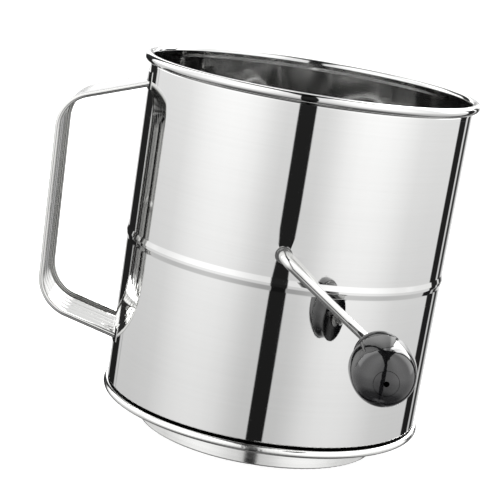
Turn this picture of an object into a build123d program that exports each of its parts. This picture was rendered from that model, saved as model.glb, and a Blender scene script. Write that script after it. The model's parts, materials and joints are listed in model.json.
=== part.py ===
"""Hand-crank rotary flour sifter in stainless steel sheet and wire, in millimetres.

Frame: the origin is the centre of the discharge collar's lower face, +Z is up
along the can's axis, the crank is on the -Y side and the handle on the -X side.
"""

from build123d import *
import os
from math import asin, cos, degrees, radians, sin, sqrt

# ---------------------------------------------------------------- driving dimensions
SHEET = 0.5  # stainless sheet of the can and the base
RIM_RADIUS = 65.45  # outside of the wired rim
RIM_Z = 141.8  # centre of the rim's bead
RIM_BEAD = 1.75  # outer radius of the rim's bead
WALL_TOP = 62.92  # outer radius of the wall under the rim
WALL_BOTTOM = 62.23  # outer radius of the wall at the base seam
WALL_TOP_Z = 139.3
WALL_END_Z = 10.9
NECK_Z = 14.4  # the wall turns in below this height, above the base seam
NECK_IN = 1.5
RIB_Z = 73.7  # pressed rib round the can, which locates the screen
RIB_PROUD = 0.45
RIB_FOOT = 2.35  # half height of the rib, at its foot and its crest
RIB_CREST = 0.5

HEM_RADIUS = 63.6  # outside of the base seam's bead
HEM_Z = 11.55
HEM_BEAD = 1.55
COLLAR_RADIUS = 48.0  # outside of the discharge collar
COLLAR_LIP = 2.8  # width of the lip turned in at the collar's foot

SHAFT_Z = 85.0
WIRE = 1.8  # radius of the crank wire
BEND = 4.5  # centreline radius of the crank's bends
FIT = 0.06  # radial running clearance round the shaft
ON_SHAFT = 0.02  # radial gap of pieces fixed on the shaft
ARM_PLANE = 68.4  # distance of the arm from the can's axis
ARM_LENGTH = 46.7  # shaft axis to knob pin
ARM_DROP = 35.3  # degrees that the arm hangs below level
PIN_YAW = 3.6  # degrees that the pin leans away from the shaft, sideways and down
PIN_PITCH = 1.0
SHAFT_REAR = 69.0

SCREEN_RADIUS = 56.8  # mid-surface of the dished screen
SCREEN_SHEET = 0.6
SCREEN_RIM_Z = RIB_Z - 0.65
AGITATOR_RADIUS = 54.0  # centreline of the agitator's hoops
AGITATOR_WIRE = 1.0
HOOPS = 4
HUB_RADIUS = 5.5
HUB_LENGTH = 6.0
HOOP_END = 3.4  # distance of a hoop's end from the shaft axis

STRAP_WIDTH = 32.4
STRAP_TURN = 1.5  # degrees that the handle sits round from square, towards the crank
STRAP_SHEET = 0.7
TAB_SHEET = 0.5
STRAP_CURL = 1.0  # outer radius of the strap's rolled edges
STRAP_TOP = (93.85, 120.8)  # corners of the strap's centreline, radius and height
STRAP_FOOT = (92.0, 40.7)
STRAP_TOP_END = (60.0, 132.4)
STRAP_FOOT_END = (60.0, 32.05)
STRAP_TOP_BEND = 13.9
STRAP_FOOT_BEND = 15.3
RIBS = 5
RIB_PITCH = 4.6
RIB_HEIGHT = 0.14

KNOB_OFFSET = 23.6  # from the crank's corner to the knob's middle, along the pin
KNOB_BACK = -15.9  # stations along the pin, from the knob's middle
KNOB_PARTING = -2.3
KNOB_FRONT = 15.9
KNOB_RADIUS = 11.7
KNOB_BACK_RADIUS = 9.2
KNOB_CAP_RADIUS = 4.35
KNOB_SEAT = 7.5  # floor of the recess for the push nut
PIN_END = 10.6

os.makedirs("parts", exist_ok=True)


def finish(piece, name, turn=0.0):
    """Turn a sub-part about the can's axis, label it and write its STEP file."""
    shape = piece.part.rotate(Axis.Z, turn) if turn else piece.part
    shape.label = name
    export_step(shape, f"parts/{name}.step")


def wall_mid(z):
    """Radius of the wall's mid-surface at a height."""
    rise = (z - HEM_Z) / (WALL_TOP_Z - HEM_Z)
    return WALL_BOTTOM + rise * (WALL_TOP - WALL_BOTTOM) - SHEET / 2


# ---------------------------------------------------------------- can
rim_curl = RIM_BEAD - SHEET / 2  # mid-surface radius of the rolled rim
rim_centre = RIM_RADIUS - RIM_BEAD
rib_points = [
    (wall_mid(RIB_Z - RIB_FOOT), RIB_Z - RIB_FOOT),
    (wall_mid(RIB_Z) + RIB_PROUD, RIB_Z - RIB_CREST),
    (wall_mid(RIB_Z) + RIB_PROUD, RIB_Z + RIB_CREST),
    (wall_mid(RIB_Z + RIB_FOOT), RIB_Z + RIB_FOOT),
]
shaft_plane = Plane(origin=(0, 0, SHAFT_Z), x_dir=(1, 0, 0), z_dir=(0, -1, 0))
eyelet_hole = 2.6  # radius of the hole in the wall for each bushing

with BuildPart() as body_shell:
    with BuildSketch(Plane.XZ):
        with BuildLine() as wall_line:
            FilletPolyline(
                (wall_mid(WALL_END_Z) - NECK_IN, WALL_END_Z),
                (wall_mid(NECK_Z) - NECK_IN, NECK_Z - 1.2),
                (wall_mid(NECK_Z), NECK_Z),
                *rib_points,
                (wall_mid(WALL_TOP_Z), WALL_TOP_Z),
                (rim_centre - rim_curl, WALL_TOP_Z + 1.0),
                (rim_centre - rim_curl, RIM_Z),
                radius=[0.4, 0.4, 1.6, 0.8, 0.8, 1.6, 1.0, 1.0],
            )
            CenterArc((rim_centre, RIM_Z), rim_curl, 180, -290)
        trace(wall_line.line, line_width=SHEET)
    revolve(axis=Axis.Z)
    with BuildSketch(shaft_plane):
        Circle(eyelet_hole)
    extrude(amount=RIM_RADIUS, both=True, mode=Mode.SUBTRACT)
finish(body_shell, "body_shell")

with BuildPart() as rim_wire:
    with BuildSketch(Plane.XZ):
        with Locations((rim_centre, RIM_Z)):
            Circle(RIM_BEAD - SHEET - 0.05)
    revolve(axis=Axis.Z)
finish(rim_wire, "rim_wire")

# ---------------------------------------------------------------- base
hem_curl = HEM_BEAD - SHEET / 2
hem_centre = HEM_RADIUS - HEM_BEAD
collar_mid = COLLAR_RADIUS - SHEET / 2
web_drop = 1.7  # fall of the base web towards the collar

with BuildPart() as base_funnel:
    with BuildSketch(Plane.XZ):
        with BuildLine() as base_line:
            CenterArc((hem_centre, HEM_Z), hem_curl, 122, -212)
            FilletPolyline(
                (hem_centre, HEM_Z - hem_curl),
                (collar_mid, HEM_Z - hem_curl - web_drop),
                (collar_mid, SHEET / 2),
                (COLLAR_RADIUS - COLLAR_LIP, SHEET / 2),
                radius=[3.0, 0.5],
            )
        trace(base_line.line, line_width=SHEET)
    revolve(axis=Axis.Z)
finish(base_funnel, "base_funnel")

# ---------------------------------------------------------------- screen and its rings
seat_outer = wall_mid(SCREEN_RIM_Z - 8) - SHEET / 2 - 0.08
seat_sheet = 0.6
seat_top = SCREEN_RIM_Z - SCREEN_SHEET / 2 - 0.05

with BuildPart() as screen_seat_ring:
    with BuildSketch(Plane.XZ):
        with BuildLine() as seat_line:
            FilletPolyline(
                (seat_outer - seat_sheet / 2, seat_top - 8.0),
                (seat_outer - seat_sheet / 2, seat_top - seat_sheet / 2),
                (56.0, seat_top - seat_sheet / 2),
                radius=1.0,
            )
        trace(seat_line.line, line_width=seat_sheet)
    revolve(axis=Axis.Z)
finish(screen_seat_ring, "screen_seat_ring")

half_sheet = SCREEN_SHEET / 2
screen_edge = sqrt((SCREEN_RADIUS - half_sheet) ** 2 - (SHAFT_Z - SCREEN_RIM_Z) ** 2)

with BuildPart() as screen_mesh:
    with Locations((0, 0, SHAFT_Z)):
        Sphere(SCREEN_RADIUS + half_sheet)
    with BuildSketch(Plane.XY.offset(SCREEN_RIM_Z + half_sheet)):
        Circle(2 * SCREEN_RADIUS)
    extrude(amount=2 * SCREEN_RADIUS, mode=Mode.SUBTRACT)
    with BuildSketch(Plane.XY.offset(SCREEN_RIM_Z - half_sheet)):
        Circle(seat_outer - seat_sheet - 0.05)
        Circle(screen_edge, mode=Mode.SUBTRACT)
    extrude(amount=SCREEN_SHEET)
    with Locations((0, 0, SHAFT_Z)):
        Sphere(SCREEN_RADIUS - half_sheet, mode=Mode.SUBTRACT)
finish(screen_mesh, "screen_mesh")

clamp_foot = SCREEN_RIM_Z + half_sheet + 0.05
clamp_outer = wall_mid(RIB_Z) + RIB_PROUD - SHEET / 2 - 0.3
clamp_curl = 0.8

with BuildPart() as screen_clamp_ring:
    with BuildSketch(Plane.XZ):
        with BuildLine() as clamp_line:
            Line((clamp_outer, clamp_foot + 0.25), (56.4, clamp_foot + 0.25))
            CenterArc((56.4, clamp_foot + 0.25 + clamp_curl), clamp_curl, -90, -220)
        trace(clamp_line.line, line_width=SHEET)
    revolve(axis=Axis.Z)
finish(screen_clamp_ring, "screen_clamp_ring")

# ---------------------------------------------------------------- handle
curl_mid = STRAP_CURL - STRAP_SHEET / 2
floor_v = curl_mid  # the strap's floor runs along the outer side of its rolled edges
edge_u = STRAP_WIDTH / 2 - STRAP_CURL
strap_start = Vector(-STRAP_TOP_END[0], 0, STRAP_TOP_END[1])
strap_corner = Vector(-STRAP_TOP[0], 0, STRAP_TOP[1])
leg_direction = (strap_corner - strap_start).normalized()
section_plane = Plane(origin=strap_start, x_dir=(0, 1, 0), z_dir=leg_direction)
# The section's second axis points towards the grip opening on this leg.
inward = -1 if section_plane.y_dir.Z > 0 else 1


def strap_floor():
    """Points and corner radii of the strap's ribbed floor, from edge to edge."""
    half = 0.75  # half width of a rib at its foot
    points = [(-edge_u, -inward * floor_v)]
    for index in range(RIBS):
        middle = (index - (RIBS - 1) / 2) * RIB_PITCH
        points.append((middle - half, -inward * floor_v))
        points.append((middle, -inward * (floor_v - RIB_HEIGHT)))
        points.append((middle + half, -inward * floor_v))
    points.append((edge_u, -inward * floor_v))
    return points


with BuildPart() as handle_strap:
    with BuildLine() as strap_path:
        FilletPolyline(
            strap_start,
            strap_corner,
            (-STRAP_FOOT[0], 0, STRAP_FOOT[1]),
            (-STRAP_FOOT_END[0], 0, STRAP_FOOT_END[1]),
            radius=[STRAP_TOP_BEND, STRAP_FOOT_BEND],
        )
    with BuildSketch(section_plane):
        with BuildLine() as strap_line:
            FilletPolyline(*strap_floor(), radius=0.45)
            CenterArc((edge_u, 0), curl_mid, -inward * 90, inward * 230)
            CenterArc((-edge_u, 0), curl_mid, -inward * 90, -inward * 230)
        trace(strap_line.line, line_width=STRAP_SHEET)
    sweep(path=strap_path.line)
    # Tabs that lie against the wall, where the strap is spot-welded.
    for tab_foot, tab_height in ((130.0, 6.5), (29.8, 4.7)):
        seat = wall_mid(tab_foot + tab_height) + SHEET / 2 + 0.05
        with BuildSketch(Plane.XY.offset(tab_foot)):
            Circle(seat + TAB_SHEET)
            with Locations((-seat, 0)):
                Rectangle(seat, STRAP_WIDTH, mode=Mode.INTERSECT)
        extrude(amount=tab_height)
    # Both ends follow the tapered wall.
    with BuildSketch(Plane.XZ):
        with BuildLine():
            Polyline(
                (0, 0),
                (wall_mid(0) + SHEET / 2 + 0.05, 0),
                (wall_mid(RIM_Z) + SHEET / 2 + 0.05, RIM_Z),
                (0, RIM_Z),
                close=True,
            )
        make_face()
    revolve(axis=Axis.Z, mode=Mode.SUBTRACT)
finish(handle_strap, "handle_strap", turn=STRAP_TURN)

# ---------------------------------------------------------------- crank wire
arm = Vector(cos(radians(ARM_DROP)), 0, -sin(radians(ARM_DROP)))
pin_level = cos(radians(PIN_PITCH))
pin = Vector(
    sin(radians(PIN_YAW)) * pin_level,
    -cos(radians(PIN_YAW)) * pin_level,
    -sin(radians(PIN_PITCH)),
)
crank_root = Vector(0, -ARM_PLANE, SHAFT_Z)
crank_corner = crank_root + arm * ARM_LENGTH
knob_middle = crank_corner + pin * KNOB_OFFSET

with BuildPart() as crank_rod:
    with BuildLine() as crank_path:
        FilletPolyline(
            (0, SHAFT_REAR, SHAFT_Z),
            crank_root,
            crank_corner,
            knob_middle + pin * PIN_END,
            radius=BEND,
        )
    with BuildSketch(Plane(origin=(0, SHAFT_REAR, SHAFT_Z), z_dir=(0, -1, 0))):
        Circle(WIRE)
    sweep(path=crank_path.line)
finish(crank_rod, "crank_rod")

# ---------------------------------------------------------------- shaft fittings
section = Plane(origin=(0, 0, SHAFT_Z), x_dir=(0, 1, 0), z_dir=(1, 0, 0))
shaft_axis = Axis((0, 0, SHAFT_Z), (0, 1, 0))
wall_here = wall_mid(SHAFT_Z)
flange_out = wall_here + SHEET / 2 + 0.1  # outer flange's seat on the wall
flange_in = wall_here - SHEET / 2 - 0.35  # inner flange's seat, clear of the curve
flange_sheet = 0.5
flange_radius = 3.2
washer_radius = 2.55
barrel_radius = eyelet_hole - 0.05
collar_face = flange_in - flange_sheet - 0.4

for side, sign in (("front", -1), ("rear", 1)):
    with BuildPart() as bushing:
        with BuildSketch(section):
            with BuildLine():
                Polyline(
                    (sign * (flange_in - flange_sheet), WIRE + FIT),
                    (sign * (flange_out + flange_sheet), WIRE + FIT),
                    (sign * (flange_out + flange_sheet), flange_radius),
                    (sign * flange_out, flange_radius),
                    (sign * flange_out, barrel_radius),
                    (sign * flange_in, barrel_radius),
                    (sign * flange_in, flange_radius),
                    (sign * (flange_in - flange_sheet), flange_radius),
                    close=True,
                )
            make_face()
        revolve(axis=shaft_axis)
    finish(bushing, f"{side}_bushing")

    # Washer outside the wall, between the bushing and the bend or the end cap.
    with BuildPart() as thrust_washer:
        with BuildSketch(section):
            with Locations(
                (sign * (flange_out + flange_sheet + 0.35), (washer_radius + WIRE + ON_SHAFT) / 2)
            ):
                Rectangle(0.5, washer_radius - WIRE - ON_SHAFT)
        revolve(axis=shaft_axis)
    finish(thrust_washer, f"{side}_thrust_washer")

    # Collar inside the wall, which keeps the shaft from sliding endways.
    with BuildPart() as shaft_collar:
        with BuildSketch(section):
            with Locations((sign * (collar_face - 1.3), (4.4 + WIRE + ON_SHAFT) / 2)):
                Rectangle(2.6, 4.4 - WIRE - ON_SHAFT)
        revolve(axis=shaft_axis)
        chamfer(shaft_collar.edges().filter_by(GeomType.CIRCLE).group_by(SortBy.RADIUS)[-1], 0.4)
    finish(shaft_collar, f"{side}_shaft_collar")

cap_start = flange_out + flange_sheet + 0.9
cap_end = SHAFT_REAR + 0.9
cap_plane = Plane(origin=(0, cap_start, SHAFT_Z), x_dir=(1, 0, 0), z_dir=(0, 1, 0))

with BuildPart() as shaft_end_cap:
    with BuildSketch(cap_plane):
        Circle(4.6)
    extrude(amount=0.7)
    with BuildSketch(cap_plane):
        Circle(3.1)
    extrude(amount=cap_end - cap_start)
    fillet(shaft_end_cap.edges().group_by(Axis.Y)[-1], 1.3)
    with BuildSketch(cap_plane):
        Circle(WIRE + ON_SHAFT)
    extrude(amount=SHAFT_REAR + 0.1 - cap_start, mode=Mode.SUBTRACT)
finish(shaft_end_cap, "shaft_end_cap")

# ---------------------------------------------------------------- agitator
hoop_start = degrees(asin(HOOP_END / AGITATOR_RADIUS))
hub_middle = AGITATOR_RADIUS * cos(radians(hoop_start)) - 0.1
hoop_angles = [45 + index * 360 / HOOPS for index in range(HOOPS)]


def hoop_direction(angle):
    """Unit vector across the shaft at an angle from level."""
    return Vector(cos(radians(angle)), 0, sin(radians(angle)))


for side, sign in (("front", -1), ("rear", 1)):
    with BuildPart() as agitator_hub:
        with BuildSketch(section):
            with Locations((sign * hub_middle, (HUB_RADIUS + WIRE + ON_SHAFT) / 2)):
                Rectangle(HUB_LENGTH, HUB_RADIUS - WIRE - ON_SHAFT)
        revolve(axis=shaft_axis)
        rims = agitator_hub.edges().filter_by(GeomType.CIRCLE).group_by(SortBy.RADIUS)[-1]
        fillet(rims, 0.8)
        for angle in hoop_angles:
            hole_plane = Plane(
                origin=(0, sign * hub_middle, SHAFT_Z),
                x_dir=(0, 1, 0),
                z_dir=hoop_direction(angle),
            )
            with BuildSketch(hole_plane):
                Circle(AGITATOR_WIRE + 0.15)
            extrude(amount=HUB_RADIUS + 1, mode=Mode.SUBTRACT)
    finish(agitator_hub, f"{side}_agitator_hub")

for index, angle in enumerate(hoop_angles, start=1):
    across = hoop_direction(angle)
    hoop_plane = Plane(
        origin=(0, 0, SHAFT_Z),
        x_dir=(0, 1, 0),
        z_dir=Vector(0, 1, 0).cross(across),
    )
    with BuildPart() as agitator_hoop:
        with BuildLine(hoop_plane) as hoop_path:
            CenterArc((0, 0), AGITATOR_RADIUS, hoop_start, 180 - 2 * hoop_start)
        with BuildSketch(Plane(origin=hoop_path.line @ 0, z_dir=hoop_path.line % 0)):
            Circle(AGITATOR_WIRE)
        sweep(path=hoop_path.line)
    finish(agitator_hoop, f"agitator_hoop_{index}")

# ---------------------------------------------------------------- knob
# Sketches here have the distance along the pin first and the radius second.
across_pin = pin.cross(Vector(0, 0, 1)).normalized()
knob_plane = Plane(origin=knob_middle, x_dir=pin, z_dir=across_pin)
knob_axis = Axis(knob_middle, pin)
bore = WIRE + FIT
spigot = 7.0  # the back cup's spigot fits into the shell
spigot_end = KNOB_PARTING + 3.5

with BuildPart() as knob_shell:
    with BuildSketch(knob_plane):
        with BuildLine():
            ThreePointArc(
                (KNOB_PARTING + 0.15, KNOB_RADIUS - 0.6),
                (KNOB_PARTING + 0.32, KNOB_RADIUS - 0.18),
                (KNOB_PARTING + 0.75, KNOB_RADIUS),
            )
            Spline(
                (KNOB_PARTING + 0.75, KNOB_RADIUS),
                (KNOB_PARTING + 5.1, KNOB_RADIUS - 0.12),
                (KNOB_PARTING + 9.6, KNOB_RADIUS - 0.6),
                (KNOB_PARTING + 13.5, KNOB_RADIUS - 1.95),
                (KNOB_PARTING + 16.2, KNOB_RADIUS - 4.1),
                (KNOB_FRONT - 0.15, KNOB_CAP_RADIUS + 0.14),
                tangents=((1, 0), (0.35, -1)),
            )
            Polyline(
                (KNOB_FRONT - 0.15, KNOB_CAP_RADIUS + 0.14),
                (KNOB_SEAT, KNOB_CAP_RADIUS + 0.14),
                (KNOB_SEAT, bore),
                (spigot_end + 0.05, bore),
                (spigot_end + 0.05, spigot + 0.05),
                (KNOB_PARTING + 0.15, spigot + 0.05),
                (KNOB_PARTING + 0.15, KNOB_RADIUS - 0.6),
            )
        make_face()
    revolve(axis=knob_axis)
finish(knob_shell, "knob_shell")

back_neck = KNOB_BACK + 2.2  # the back flange starts here

with BuildPart() as knob_back_cup:
    with BuildSketch(knob_plane):
        with BuildLine():
            ThreePointArc(
                (KNOB_BACK, KNOB_BACK_RADIUS - 0.5),
                (KNOB_BACK + 0.15, KNOB_BACK_RADIUS - 0.15),
                (KNOB_BACK + 0.5, KNOB_BACK_RADIUS),
            )
            Line((KNOB_BACK + 0.5, KNOB_BACK_RADIUS), (back_neck - 0.4, KNOB_BACK_RADIUS))
            ThreePointArc(
                (back_neck - 0.4, KNOB_BACK_RADIUS),
                (back_neck - 0.1, KNOB_BACK_RADIUS - 0.12),
                (back_neck, KNOB_BACK_RADIUS - 0.4),
            )
            Spline(
                (back_neck, KNOB_BACK_RADIUS - 0.4),
                (back_neck + 1.0, KNOB_BACK_RADIUS - 0.6),
                (back_neck + 6.0, KNOB_BACK_RADIUS + 0.5),
                (KNOB_PARTING, KNOB_RADIUS - 0.75),
            )
            Polyline(
                (KNOB_PARTING, KNOB_RADIUS - 0.75),
                (KNOB_PARTING, spigot),
                (spigot_end, spigot),
                (spigot_end, bore),
                (KNOB_BACK, bore),
                (KNOB_BACK, KNOB_BACK_RADIUS - 0.5),
            )
        make_face()
    revolve(axis=knob_axis)
finish(knob_back_cup, "knob_back_cup")

with BuildPart() as knob_end_cap:
    with BuildSketch(knob_plane):
        with BuildLine():
            Line((KNOB_FRONT - 1.6, 1.0), (KNOB_FRONT - 1.6, KNOB_CAP_RADIUS))
            Line((KNOB_FRONT - 1.6, KNOB_CAP_RADIUS), (KNOB_FRONT - 0.1, KNOB_CAP_RADIUS))
            ThreePointArc(
                (KNOB_FRONT - 0.1, KNOB_CAP_RADIUS),
                (KNOB_FRONT + 0.35, 2.6),
                (KNOB_FRONT + 0.55, 1.0),
            )
            Line((KNOB_FRONT + 0.55, 1.0), (KNOB_FRONT - 1.6, 1.0))
        make_face()
    revolve(axis=knob_axis)
finish(knob_end_cap, "knob_end_cap")

with BuildPart() as knob_push_nut:
    with BuildSketch(knob_plane):
        with BuildLine():
            Polyline(
                (KNOB_SEAT + 0.4, 3.9),
                (KNOB_SEAT + 0.4, 3.2),
                (KNOB_SEAT + 1.2, WIRE + ON_SHAFT),
                (KNOB_SEAT + 1.8, WIRE + ON_SHAFT),
                (KNOB_SEAT + 0.9, 3.4),
                (KNOB_SEAT + 0.9, 3.9),
                close=True,
            )
        make_face()
    revolve(axis=knob_axis)
finish(knob_push_nut, "knob_push_nut")

with BuildPart() as knob_stop_washer:
    with BuildSketch(knob_plane):
        with Locations((KNOB_BACK - 0.8, (3.1 + WIRE + ON_SHAFT) / 2)):
            Rectangle(0.8, 3.1 - WIRE - ON_SHAFT)
    revolve(axis=knob_axis)
finish(knob_stop_washer, "knob_stop_washer")
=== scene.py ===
"""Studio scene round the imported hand-crank flour sifter: materials, woven screen, light and camera."""

import json
import math

import bpy
from mathutils import Matrix, Vector


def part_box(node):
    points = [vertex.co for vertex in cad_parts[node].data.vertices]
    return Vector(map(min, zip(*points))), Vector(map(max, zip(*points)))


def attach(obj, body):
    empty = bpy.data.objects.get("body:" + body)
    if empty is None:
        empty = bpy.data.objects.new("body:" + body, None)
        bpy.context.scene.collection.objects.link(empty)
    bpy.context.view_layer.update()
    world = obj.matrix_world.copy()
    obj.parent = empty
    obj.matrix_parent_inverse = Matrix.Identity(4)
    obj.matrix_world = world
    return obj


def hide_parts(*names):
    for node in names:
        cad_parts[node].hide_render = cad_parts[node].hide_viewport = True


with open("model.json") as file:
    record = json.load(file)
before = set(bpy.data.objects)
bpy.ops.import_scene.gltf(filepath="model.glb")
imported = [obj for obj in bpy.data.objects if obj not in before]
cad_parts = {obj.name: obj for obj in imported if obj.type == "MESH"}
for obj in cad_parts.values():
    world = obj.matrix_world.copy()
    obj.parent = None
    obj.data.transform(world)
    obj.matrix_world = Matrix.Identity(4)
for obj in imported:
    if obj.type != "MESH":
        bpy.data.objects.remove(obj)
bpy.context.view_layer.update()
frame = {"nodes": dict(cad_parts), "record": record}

# ---------------------------------------------------------------- camera
CAMERA_PLACE = Vector((0.0, -0.6312, 0.2087))
CAMERA_TARGET = Vector((-0.0136, 0.0, 0.0712))
CAMERA_ROLL = math.radians(9.15)
CAMERA_LENS = 117.5
SENSOR = 36.0


def add_camera():
    """Places the camera, rolled about its own axis so that the can leans in the frame."""
    forward = (CAMERA_TARGET - CAMERA_PLACE).normalized()
    right = forward.cross(Vector((0, 0, 1))).normalized()
    up = right.cross(forward)
    rolled_right = right * math.cos(CAMERA_ROLL) + up * math.sin(CAMERA_ROLL)
    rolled_up = up * math.cos(CAMERA_ROLL) - right * math.sin(CAMERA_ROLL)
    data = bpy.data.cameras.new("camera")
    data.lens = CAMERA_LENS
    data.sensor_width = SENSOR
    data.clip_start = 0.01
    data.clip_end = 60.0
    camera = bpy.data.objects.new("camera", data)
    bpy.context.scene.collection.objects.link(camera)
    axes = Matrix((rolled_right, rolled_up, -forward)).transposed()
    camera.matrix_world = Matrix.Translation(CAMERA_PLACE) @ axes.to_4x4()
    bpy.context.scene.camera = camera


add_camera()

# ---------------------------------------------------------------- node graph helper


class Graph:
    """Short calls for building a node tree."""

    def __init__(self, tree):
        self.tree = tree

    def node(self, kind, **settings):
        made = self.tree.nodes.new(kind)
        for name, value in settings.items():
            setattr(made, name, value)
        return made

    def feed(self, target, value):
        """Sets a socket to a number, or links it to another node's output."""
        if isinstance(value, bpy.types.NodeSocket):
            self.tree.links.new(value, target)
        else:
            target.default_value = value

    def maths(self, operation, first, second=0.0, third=0.0):
        made = self.node("ShaderNodeMath", operation=operation)
        for socket, value in zip(made.inputs, (first, second, third)):
            self.feed(socket, value)
        return made.outputs[0]

    def add(self, first, second):
        return self.maths("ADD", first, second)

    def times(self, first, second):
        return self.maths("MULTIPLY", first, second)

    def ramp(self, value, low, high, out_low=0.0, out_high=1.0):
        """Smooth step from out_low at low to out_high at high."""
        made = self.node("ShaderNodeMapRange", interpolation_type="SMOOTHSTEP")
        values = (value, low, high, out_low, out_high)
        for name, number in zip(("Value", "From Min", "From Max", "To Min", "To Max"), values):
            self.feed(made.inputs[name], number)
        return made.outputs["Result"]

    def between(self, value, low, high, soft):
        """1 between two limits and 0 outside them, with soft edges inside the limits."""
        rise = self.ramp(value, low, low + soft)
        fall = self.ramp(value, high - soft, high, 1.0, 0.0)
        return self.times(rise, fall)

    def curve(self, value, stops, top):
        """Straight runs through (place, level) stops. Places go from 0 to 1, levels from 0 to top."""
        made = self.node("ShaderNodeValToRGB")
        self.feed(made.inputs["Fac"], value)
        elements = made.color_ramp.elements
        while len(elements) > 1:
            elements.remove(elements[-1])
        for index, (place, level) in enumerate(stops):
            stop = elements[0] if index == 0 else elements.new(place)
            stop.position = place
            share = level / top
            stop.color = (share, share, share, 1.0)
        return self.times(made.outputs["Color"], top)

    def object_place(self):
        return self.node("ShaderNodeTexCoord").outputs["Object"]

    def split(self, vector):
        made = self.node("ShaderNodeSeparateXYZ")
        self.feed(made.inputs[0], vector)
        return made.outputs

    def stretched(self, vector, scale):
        """The vector with each axis scaled, in cycles per metre."""
        made = self.node("ShaderNodeVectorMath", operation="MULTIPLY")
        self.feed(made.inputs[0], vector)
        made.inputs[1].default_value = scale
        return made.outputs["Vector"]

    def noise(self, vector, scale=1.0, detail=3.0, rough=0.5):
        made = self.node("ShaderNodeTexNoise")
        self.feed(made.inputs["Vector"], vector)
        values = (("Scale", scale), ("Detail", detail), ("Roughness", rough))
        for name, value in values:
            made.inputs[name].default_value = value
        return made.outputs["Fac"]

    def bump(self, height, distance, strength=1.0, under=None):
        """A bump whose height of 1 stands the given distance in metres."""
        made = self.node("ShaderNodeBump")
        made.inputs["Strength"].default_value = strength
        made.inputs["Distance"].default_value = distance
        self.feed(made.inputs["Height"], height)
        if under is not None:
            self.feed(made.inputs["Normal"], under)
        return made.outputs["Normal"]

    def grey_mix(self, share, low, high):
        """Colour between two, by a share from 0 to 1."""
        made = self.node("ShaderNodeMix", data_type="RGBA")
        self.feed(made.inputs["Factor"], share)
        made.inputs["A"].default_value = (*low, 1.0)
        made.inputs["B"].default_value = (*high, 1.0)
        return made.outputs["Result"]


def new_material(name):
    material = bpy.data.materials.new(name)
    material.use_nodes = True
    tree = material.node_tree
    return material, Graph(tree), tree.nodes["Principled BSDF"]


joints = {joint["name"]: joint for joint in frame["record"]["behaviour"]["joints"]}

# ---------------------------------------------------------------- materials
# Colours of the steels, from dull patches to bright ones, and of the plastic.
BRIGHT = (0.70, 0.70, 0.695)
DULL = (0.63, 0.63, 0.62)
WALL_BRIGHT = (0.69, 0.69, 0.685)
WALL_DULL = (0.50, 0.50, 0.495)
STRAP_BRIGHT = (0.65, 0.65, 0.64)
STRAP_DULL = (0.61, 0.61, 0.60)
BASE_BRIGHT = (0.86, 0.86, 0.85)
BASE_DULL = (0.74, 0.74, 0.73)
CRANK_BRIGHT = (0.78, 0.78, 0.77)
# Near black painted into the groove above the base seam, as painted shade.
GROOVE_SHADE = (0.008, 0.008, 0.008, 1.0)
PLASTIC_CLEAN = (0.0025, 0.0025, 0.003)
PLASTIC_DUSTY = (0.009, 0.009, 0.0095)
# Pale grey painted along the knob's parting edge, as a painted highlight.
PARTING_HIGHLIGHT = (0.62, 0.62, 0.61, 1.0)
PLASTIC_IOR = 1.75

# The handle's spot welds, in metres: height of the grip's middle, offsets of a weld from it
# upwards and sideways, the weld's radius at its floor and its edge, and its depth.
GRIP_MIDDLE_Z = 0.0827
WELD_UP = 0.0505
WELD_SIDE = 0.0085
WELD_FLOOR = 0.0009
WELD_EDGE = 0.0018
WELD_DEPTH = 0.00035
TAB_X = (-0.068, -0.0665)  # the tabs lie further in than this

GROOVE_Z = (0.0125, 0.0143)  # the groove above the base seam, painted near black as painted shade and a dark reflection
WALL_WAVES = 0.0006  # height of the rolled sheet's shallow waves
SEAM_HALF = (0.0003, 0.0008)  # half width of the side seam, at its crest and its foot
SEAM_HEIGHT = 0.00012
PARTING = (-0.0025, -0.0021)  # the knob's parting edge, painted pale as a highlight, along its pin from its middle


def fine_scratches(graph, place, along):
    """Sparse hairline scratches, long on the axes whose scale is small. Returns 0 to 1."""
    lines = graph.noise(graph.stretched(place, along), detail=1.0)
    patches = graph.noise(place, 55.0, detail=2.0)
    return graph.times(graph.ramp(lines, 0.66, 0.74), graph.ramp(patches, 0.5, 0.62))


def smudges(graph, place, scale=38.0):
    """Soft blotches such as handling leaves on polished steel."""
    return graph.ramp(graph.noise(place, scale, detail=4.0, rough=0.6), 0.42, 0.72)


def steel(name, grain, rough, grain_depth, rough_spread=0.05, low=DULL, high=BRIGHT):
    """Polished steel with drawn lines. grain is the noise scale on each axis, in cycles per metre."""
    material, graph, shader = new_material(name)
    place = graph.object_place()
    lines = graph.noise(graph.stretched(place, grain), detail=4.0, rough=0.65)
    marks = smudges(graph, place)
    shader.inputs["Metallic"].default_value = 1.0
    tone = graph.add(graph.times(lines, 0.6), graph.times(marks, -0.25))
    graph.feed(shader.inputs["Base Color"], graph.grey_mix(graph.ramp(tone, 0.0, 0.45), low, high))
    roughness = graph.add(rough, graph.times(lines, rough_spread))
    graph.feed(shader.inputs["Roughness"], graph.add(roughness, graph.times(marks, 0.5 * rough_spread)))
    graph.feed(shader.inputs["Normal"], graph.bump(lines, grain_depth))
    return material


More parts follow.
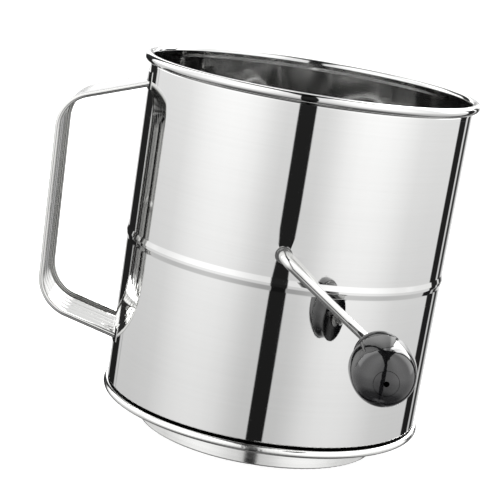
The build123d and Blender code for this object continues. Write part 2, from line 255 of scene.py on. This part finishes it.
def strap_steel():
    """The handle: polished along the strap, with spot welds pressed into its two tabs."""
    grain = (12.0, 1100.0, 12.0)
    material = steel("handle_steel", grain, 0.055, 0.0000005, 0.015, STRAP_DULL, STRAP_BRIGHT)
    graph = Graph(material.node_tree)
    shader = material.node_tree.nodes["Principled BSDF"]
    x, y, z = graph.split(graph.object_place())
    across = graph.add(graph.maths("ABSOLUTE", y), -WELD_SIDE)
    along = graph.add(graph.maths("ABSOLUTE", graph.add(z, -GRIP_MIDDLE_Z)), -WELD_UP)
    reach = graph.maths("SQRT", graph.add(graph.times(across, across), graph.times(along, along)))
    spot = graph.times(graph.ramp(reach, WELD_FLOOR, WELD_EDGE, 1.0, 0.0), graph.ramp(x, *TAB_X))
    lines = shader.inputs["Normal"].links[0].from_socket
    graph.feed(shader.inputs["Normal"], graph.bump(graph.times(spot, -1.0), WELD_DEPTH, under=lines))
    return material


def wall_steel():
    """The can: mirror polished with faint brush lines round it, a little rougher and wavier inside."""
    material, graph, shader = new_material("body_steel")
    place = graph.object_place()
    x, y, z = graph.split(place)
    normal = graph.node("ShaderNodeNewGeometry").outputs["Normal"]
    normal_x, normal_y, _ = graph.split(normal)
    outward = graph.add(graph.times(x, normal_x), graph.times(y, normal_y))
    inside = graph.ramp(outward, -0.02, 0.0, 1.0, 0.0)
    brush = graph.noise(graph.stretched(place, (9.0, 9.0, 1100.0)), detail=5.0, rough=0.7)
    hoops = graph.noise(graph.stretched(place, (4.0, 4.0, 170.0)), detail=2.0)
    marks = smudges(graph, place, 26.0)
    hairs = fine_scratches(graph, place, (14.0, 14.0, 2600.0))
    shader.inputs["Metallic"].default_value = 1.0
    tone = graph.add(graph.times(brush, 0.13), graph.times(hoops, 0.05))
    tone = graph.add(tone, graph.times(inside, -0.02))
    colour = graph.grey_mix(graph.ramp(tone, -0.3, 0.15), WALL_DULL, WALL_BRIGHT)
    # Painted shade: the groove above the base seam is painted near black, standing in for its shadow and
    # a dark reflection.
    outside = graph.maths("SUBTRACT", 1.0, inside)
    groove = graph.times(graph.between(z, *GROOVE_Z, 0.00015), outside)
    groove_shaded = graph.node("ShaderNodeMix", data_type="RGBA")
    graph.feed(groove_shaded.inputs["Factor"], groove)
    graph.feed(groove_shaded.inputs["A"], colour)
    groove_shaded.inputs["B"].default_value = GROOVE_SHADE
    graph.feed(shader.inputs["Base Color"], groove_shaded.outputs["Result"])
    outer = graph.add(0.018, graph.times(brush, 0.02))
    outer = graph.add(outer, graph.times(marks, 0.012))
    outer = graph.add(outer, graph.times(hairs, 0.12))
    rough = graph.add(outer, graph.times(inside, 0.05))
    rough = graph.add(rough, graph.times(groove, 0.3))
    graph.feed(shader.inputs["Roughness"], rough)
    # Large shallow waves in the rolled sheet, then the brush lines over them.
    waves = graph.noise(graph.stretched(place, (30.0, 30.0, 14.0)), detail=1.0)
    depth = graph.add(0.15, graph.times(inside, 4.2))
    waved = graph.bump(graph.times(waves, depth), WALL_WAVES)
    # The can's welded side seam runs up behind the handle.
    beside = graph.ramp(graph.maths("ABSOLUTE", y), *SEAM_HALF, 1.0, 0.0)
    seam = graph.times(beside, graph.ramp(x, -0.01, 0.0, 1.0, 0.0))
    seamed = graph.bump(seam, SEAM_HEIGHT, under=waved)
    graph.feed(shader.inputs["Normal"], graph.bump(brush, 0.000003, under=seamed))
    return material


def plastic():
    """Glossy moulded black with a trace of orange peel, hairlines and dust."""
    material, graph, shader = new_material("knob_plastic")
    place = graph.object_place()
    peel = graph.noise(place, 420.0, detail=2.0)
    dust = graph.ramp(graph.noise(place, 900.0, detail=3.0), 0.62, 0.8)
    hairs = fine_scratches(graph, place, (160.0, 900.0, 420.0))
    worn = graph.noise(place, 60.0, detail=3.0)
    speckle = graph.add(graph.times(dust, 0.5), graph.times(worn, 0.3))
    black = graph.grey_mix(speckle, PLASTIC_CLEAN, PLASTIC_DUSTY)
    # Painted highlight: a pale band along the parting edge between shell and back cup, standing in for
    # its glint.
    spin = joints["knob_spin"]
    offset = graph.node("ShaderNodeVectorMath", operation="SUBTRACT")
    graph.feed(offset.inputs[0], place)
    offset.inputs[1].default_value = spin["pos_m"]
    station = graph.node("ShaderNodeVectorMath", operation="DOT_PRODUCT")
    graph.feed(station.inputs[0], offset.outputs["Vector"])
    station.inputs[1].default_value = spin["axis"]
    edge = graph.between(station.outputs["Value"], *PARTING, 0.0001)
    parting_glint = graph.node("ShaderNodeMix", data_type="RGBA")
    graph.feed(parting_glint.inputs["Factor"], graph.times(edge, 0.9))
    graph.feed(parting_glint.inputs["A"], black)
    parting_glint.inputs["B"].default_value = PARTING_HIGHLIGHT
    graph.feed(shader.inputs["Base Color"], parting_glint.outputs["Result"])
    rough = graph.add(graph.add(0.05, graph.times(worn, 0.04)), graph.times(hairs, 0.12))
    graph.feed(shader.inputs["Roughness"], rough)
    shader.inputs["IOR"].default_value = PLASTIC_IOR
    graph.feed(shader.inputs["Normal"], graph.bump(peel, 0.00002))
    return material


materials = {
    "body_steel": wall_steel(),
    "base_steel": steel("base_steel", (9.0, 9.0, 700.0), 0.09, 0.000005, 0.07, BASE_DULL, BASE_BRIGHT),
    "ring_steel": steel("ring_steel", (40.0, 40.0, 500.0), 0.2, 0.00001, 0.12),
    "screen_steel": steel("screen_steel", (300.0, 300.0, 300.0), 0.22, 0.00001, 0.1),
    "handle_steel": strap_steel(),
    "wire_steel": steel("wire_steel", (60.0, 60.0, 60.0), 0.1, 0.000004, 0.06),
    "crank_steel": steel("crank_steel", (60.0, 60.0, 60.0), 0.035, 0.000002, 0.03, high=CRANK_BRIGHT),
    "fitting_steel": steel("fitting_steel", (160.0, 160.0, 160.0), 0.12, 0.000006, 0.1),
    "knob_plastic": plastic(),
}
slots = {part["node"]: part["material_slot"] for part in frame["record"]["subparts"]}
for name, node in frame["nodes"].items():
    node.data.materials.clear()
    node.data.materials.append(materials[slots[name]])

# ---------------------------------------------------------------- woven screen
WEAVE_PITCH = 0.002  # along the dish, in metres
WEAVE_WIRE = 0.00028  # radius of a wire
WEAVE_RISE = 0.8  # how far a wire rises at a crossing, in wire radii
WIRE_SIDES = 5
BINDING_WIDTH = 0.0056  # the flat ring round the screen
BINDING_HALF = 0.0003  # half its thickness
BINDING_STEPS = 128


def add_tube(verts, faces, path, outward):
    """Adds a round wire along the path's points; outward gives the side direction at a point."""
    first = len(verts)
    for index, point in enumerate(path):
        before = path[max(index - 1, 0)]
        after = path[min(index + 1, len(path) - 1)]
        up = outward(point)
        side = (after - before).cross(up).normalized()
        for step in range(WIRE_SIDES):
            turn = 2 * math.pi * step / WIRE_SIDES
            verts.append(point + WEAVE_WIRE * (side * math.cos(turn) + up * math.sin(turn)))
    for index in range(len(path) - 1):
        low = first + index * WIRE_SIDES
        for step in range(WIRE_SIDES):
            other = (step + 1) % WIRE_SIDES
            faces.append((low + step, low + other, low + WIRE_SIDES + other, low + WIRE_SIDES + step))


def build_screen():
    """The dished screen as woven wire, with the flat binding that its clamp ring holds."""
    low, high = (Vector(corner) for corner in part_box("screen_mesh"))
    centre = Vector(joints["crank_turn"]["pos_m"])
    rim_height = high.z - BINDING_HALF
    radius = centre.z - low.z - BINDING_HALF
    rim_cosine = (centre.z - rim_height) / radius
    step_angle = WEAVE_PITCH / radius
    count = int(math.acos(rim_cosine) / step_angle)
    slopes = [math.tan(index * step_angle) for index in range(-count, count + 1)]
    verts, faces = [], []

    def outward(point):
        return (point - centre).normalized()

    for along_x in (True, False):
        for fixed, slope in enumerate(slopes):
            path = []
            for moving, other in enumerate(slopes):
                direction = Vector((other, slope, -1.0) if along_x else (slope, other, -1.0)).normalized()
                if -direction.z < rim_cosine:
                    continue
                over = 1 if (fixed + moving) % 2 == (0 if along_x else 1) else -1
                path.append(centre + direction * (radius + WEAVE_RISE * over * WEAVE_WIRE))
            if len(path) > 2:
                add_tube(verts, faces, path, outward)

    outer = high.x
    section = [
        (outer - BINDING_WIDTH, -1.0),
        (outer, -1.0),
        (outer, 1.0),
        (outer - BINDING_WIDTH, 1.0),
    ]
    first = len(verts)
    for step in range(BINDING_STEPS):
        turn = 2 * math.pi * step / BINDING_STEPS
        for ring, side in section:
            verts.append(
                Vector((ring * math.cos(turn), ring * math.sin(turn), rim_height + side * BINDING_HALF))
            )
    for step in range(BINDING_STEPS):
        low_row = first + step * len(section)
        high_row = first + (step + 1) % BINDING_STEPS * len(section)
        for index in range(len(section)):
            other = (index + 1) % len(section)
            faces.append((low_row + index, low_row + other, high_row + other, high_row + index))
    mesh = bpy.data.meshes.new("woven_screen")
    mesh.from_pydata([tuple(v) for v in verts], [], faces)
    mesh.shade_smooth()
    mesh.materials.append(materials["screen_steel"])
    screen = bpy.data.objects.new("woven_screen", mesh)
    bpy.context.scene.collection.objects.link(screen)
    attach(screen, "can")
    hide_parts("screen_mesh")


build_screen()

# ---------------------------------------------------------------- stage
FLOOR_HALF = 12.0
FLOOR_GLOW = 0.6  # keeps the pale floor near white
floor_mesh = bpy.data.meshes.new("floor")
floor_corners = [(x * FLOOR_HALF, y * FLOOR_HALF, 0.0) for x, y in ((-1, -1), (1, -1), (1, 1), (-1, 1))]
floor_mesh.from_pydata(floor_corners, [], [(0, 1, 2, 3)])
floor = bpy.data.objects.new("floor", floor_mesh)
bpy.context.scene.collection.objects.link(floor)
floor_material, _, floor_shader = new_material("floor")
floor_shader.inputs["Base Color"].default_value = (0.9, 0.9, 0.9, 1)
floor_shader.inputs["Roughness"].default_value = 0.9
floor_shader.inputs["Emission Color"].default_value = (1, 1, 1, 1)
floor_shader.inputs["Emission Strength"].default_value = FLOOR_GLOW
floor_mesh.materials.append(floor_material)
floor.visible_glossy = False

# ---------------------------------------------------------------- studio
# Brightness of the studio walls by angle from the front, in degrees either way: two broad panels
# with a dark gap between them. The stops of this table and the next two were typed and rounded by
# hand, from a scratch program's readings of how bright the photo's reflections are.
FRONT = (
    (0.0, 0.02),
    (5.7, 0.02),
    (6.1, 0.97),
    (8.0, 0.96),
    (13.0, 0.97),
    (20.0, 1.05),
    (32.0, 1.25),
    (42.0, 1.34),
    (52.0, 1.36),
    (60.0, 1.34),
    (70.0, 1.28),
    (80.0, 1.18),
    (90.0, 1.08),
    (110.0, 1.02),
    (131.0, 0.98),
    (180.0, 0.98),
)
# The same behind the object, by angle from straight behind, negative to the handle's side.
BACK = (
    (-50.0, 0.98),
    (-46.8, 0.96),
    (-45.7, 0.55),
    (-44.6, 0.96),
    (-41.5, 0.80),
    (-40.5, 0.02),
    (-21.5, 0.02),
    (-19.5, 0.70),
    (-17.0, 0.92),
    (-10.0, 0.90),
    (-4.0, 0.46),
    (8.0, 0.46),
    (14.0, 1.15),
    (22.0, 0.75),
    (25.0, 0.12),
    (28.0, 0.04),
    (31.0, 0.04),
    (32.5, 0.80),
    (35.0, 0.80),
    (36.5, 0.02),
    (47.5, 0.02),
    (49.0, 1.02),
)
BACK_HALF = 50.0
# Brightness by height of the direction, from straight down to straight up.
HEIGHTS = (
    (-1.0, 0.5),
    (-0.97, 0.1),
    (-0.8, 0.15),
    (-0.62, 0.6),
    (-0.3, 0.81),
    (-0.18, 0.97),
    (-0.1, 1.08),
    (0.0, 1.13),
    (0.3, 1.15),
    (1.0, 1.3),
)
# The dark wedge overhead, in parts of a unit direction: how far forward it starts, its edges as an
# offset and a slope along y, where it ends behind, and how dark it is.
WEDGE_REACH = 0.76
WEDGE_LEFT = (0.10, 0.30)
WEDGE_RIGHT = (-0.02, 0.34)
WEDGE_END = (0.32, 0.38)
WEDGE_DARKNESS = 0.97
BACK_LIFT = 0.9  # how much brighter the wall behind is above the horizon
WINDOW_LEVEL = 6.0
WINDOW_ANGLES = (11.0, 43.0)  # from straight behind, in degrees
WINDOW_HEIGHTS = (0.24, 0.86)  # as the height of the direction


def build_studio():
    """A soft white studio as the world: walls by azimuth, a dark gap overhead and a window behind."""
    world = bpy.data.worlds.new("studio")
    bpy.context.scene.world = world
    world.use_nodes = True
    graph = Graph(world.node_tree)
    background = world.node_tree.nodes["Background"]
    x, y, z = graph.split(graph.node("ShaderNodeTexCoord").outputs["Generated"])
    from_front = graph.maths("ABSOLUTE", graph.maths("ARCTAN2", x, graph.times(y, -1.0)))
    from_back = graph.times(graph.maths("ARCTAN2", x, y), 180.0 / math.pi)
    front_stops = [(angle / 180.0, level) for angle, level in FRONT]
    back_stops = [((angle + BACK_HALF) / (2 * BACK_HALF), level) for angle, level in BACK]
    height_stops = [((height + 1) / 2, level) for height, level in HEIGHTS]
    front = graph.curve(graph.times(from_front, 1.0 / math.pi), front_stops, 2.0)
    back_place = graph.times(graph.add(from_back, BACK_HALF), 1.0 / (2 * BACK_HALF))
    back = graph.curve(back_place, back_stops, 2.0)
    is_back = graph.between(from_back, -BACK_HALF, BACK_HALF, 0.2)
    is_front = graph.maths("SUBTRACT", 1.0, is_back)
    walls = graph.add(graph.times(front, is_front), graph.times(back, is_back))
    walls = graph.times(walls, graph.curve(graph.add(graph.times(z, 0.5), 0.5), height_stops, 2.0))
    # Behind the object the studio wall is lit more strongly above the horizon.
    lift = graph.times(graph.ramp(z, 0.03, 0.14), graph.ramp(y, 0.1, 0.35))
    walls = graph.times(walls, graph.maths("MULTIPLY_ADD", lift, BACK_LIFT, 1.0))
    # The panels part overhead, in a dark wedge that widens from the front to the back.
    run = graph.add(y, WEDGE_REACH)
    left_start, left_slope = WEDGE_LEFT
    right_start, right_slope = WEDGE_RIGHT
    left_edge = graph.add(x, graph.add(left_start, graph.times(run, left_slope)))
    right_edge = graph.add(graph.add(right_start, graph.times(run, right_slope)), graph.times(x, -1.0))
    wedge = graph.times(graph.ramp(left_edge, 0.0, 0.03), graph.ramp(right_edge, 0.0, 0.03))
    wedge_end = graph.ramp(y, *WEDGE_END, 1.0, 0.0)
    wedge = graph.times(wedge, graph.times(graph.ramp(z, 0.3, 0.4), wedge_end))
    walls = graph.times(walls, graph.maths("MULTIPLY_ADD", wedge, -WEDGE_DARKNESS, 1.0))
    # A bright window high behind, on the side away from the handle.
    across = graph.between(from_back, *WINDOW_ANGLES, 3.0)
    window = graph.times(across, graph.between(z, *WINDOW_HEIGHTS, 0.05))
    level = graph.add(walls, graph.times(window, WINDOW_LEVEL))
    graph.feed(background.inputs["Color"], level)
    background.inputs["Strength"].default_value = 1.0


build_studio()
bpy.context.scene.view_settings.view_transform = "Standard"
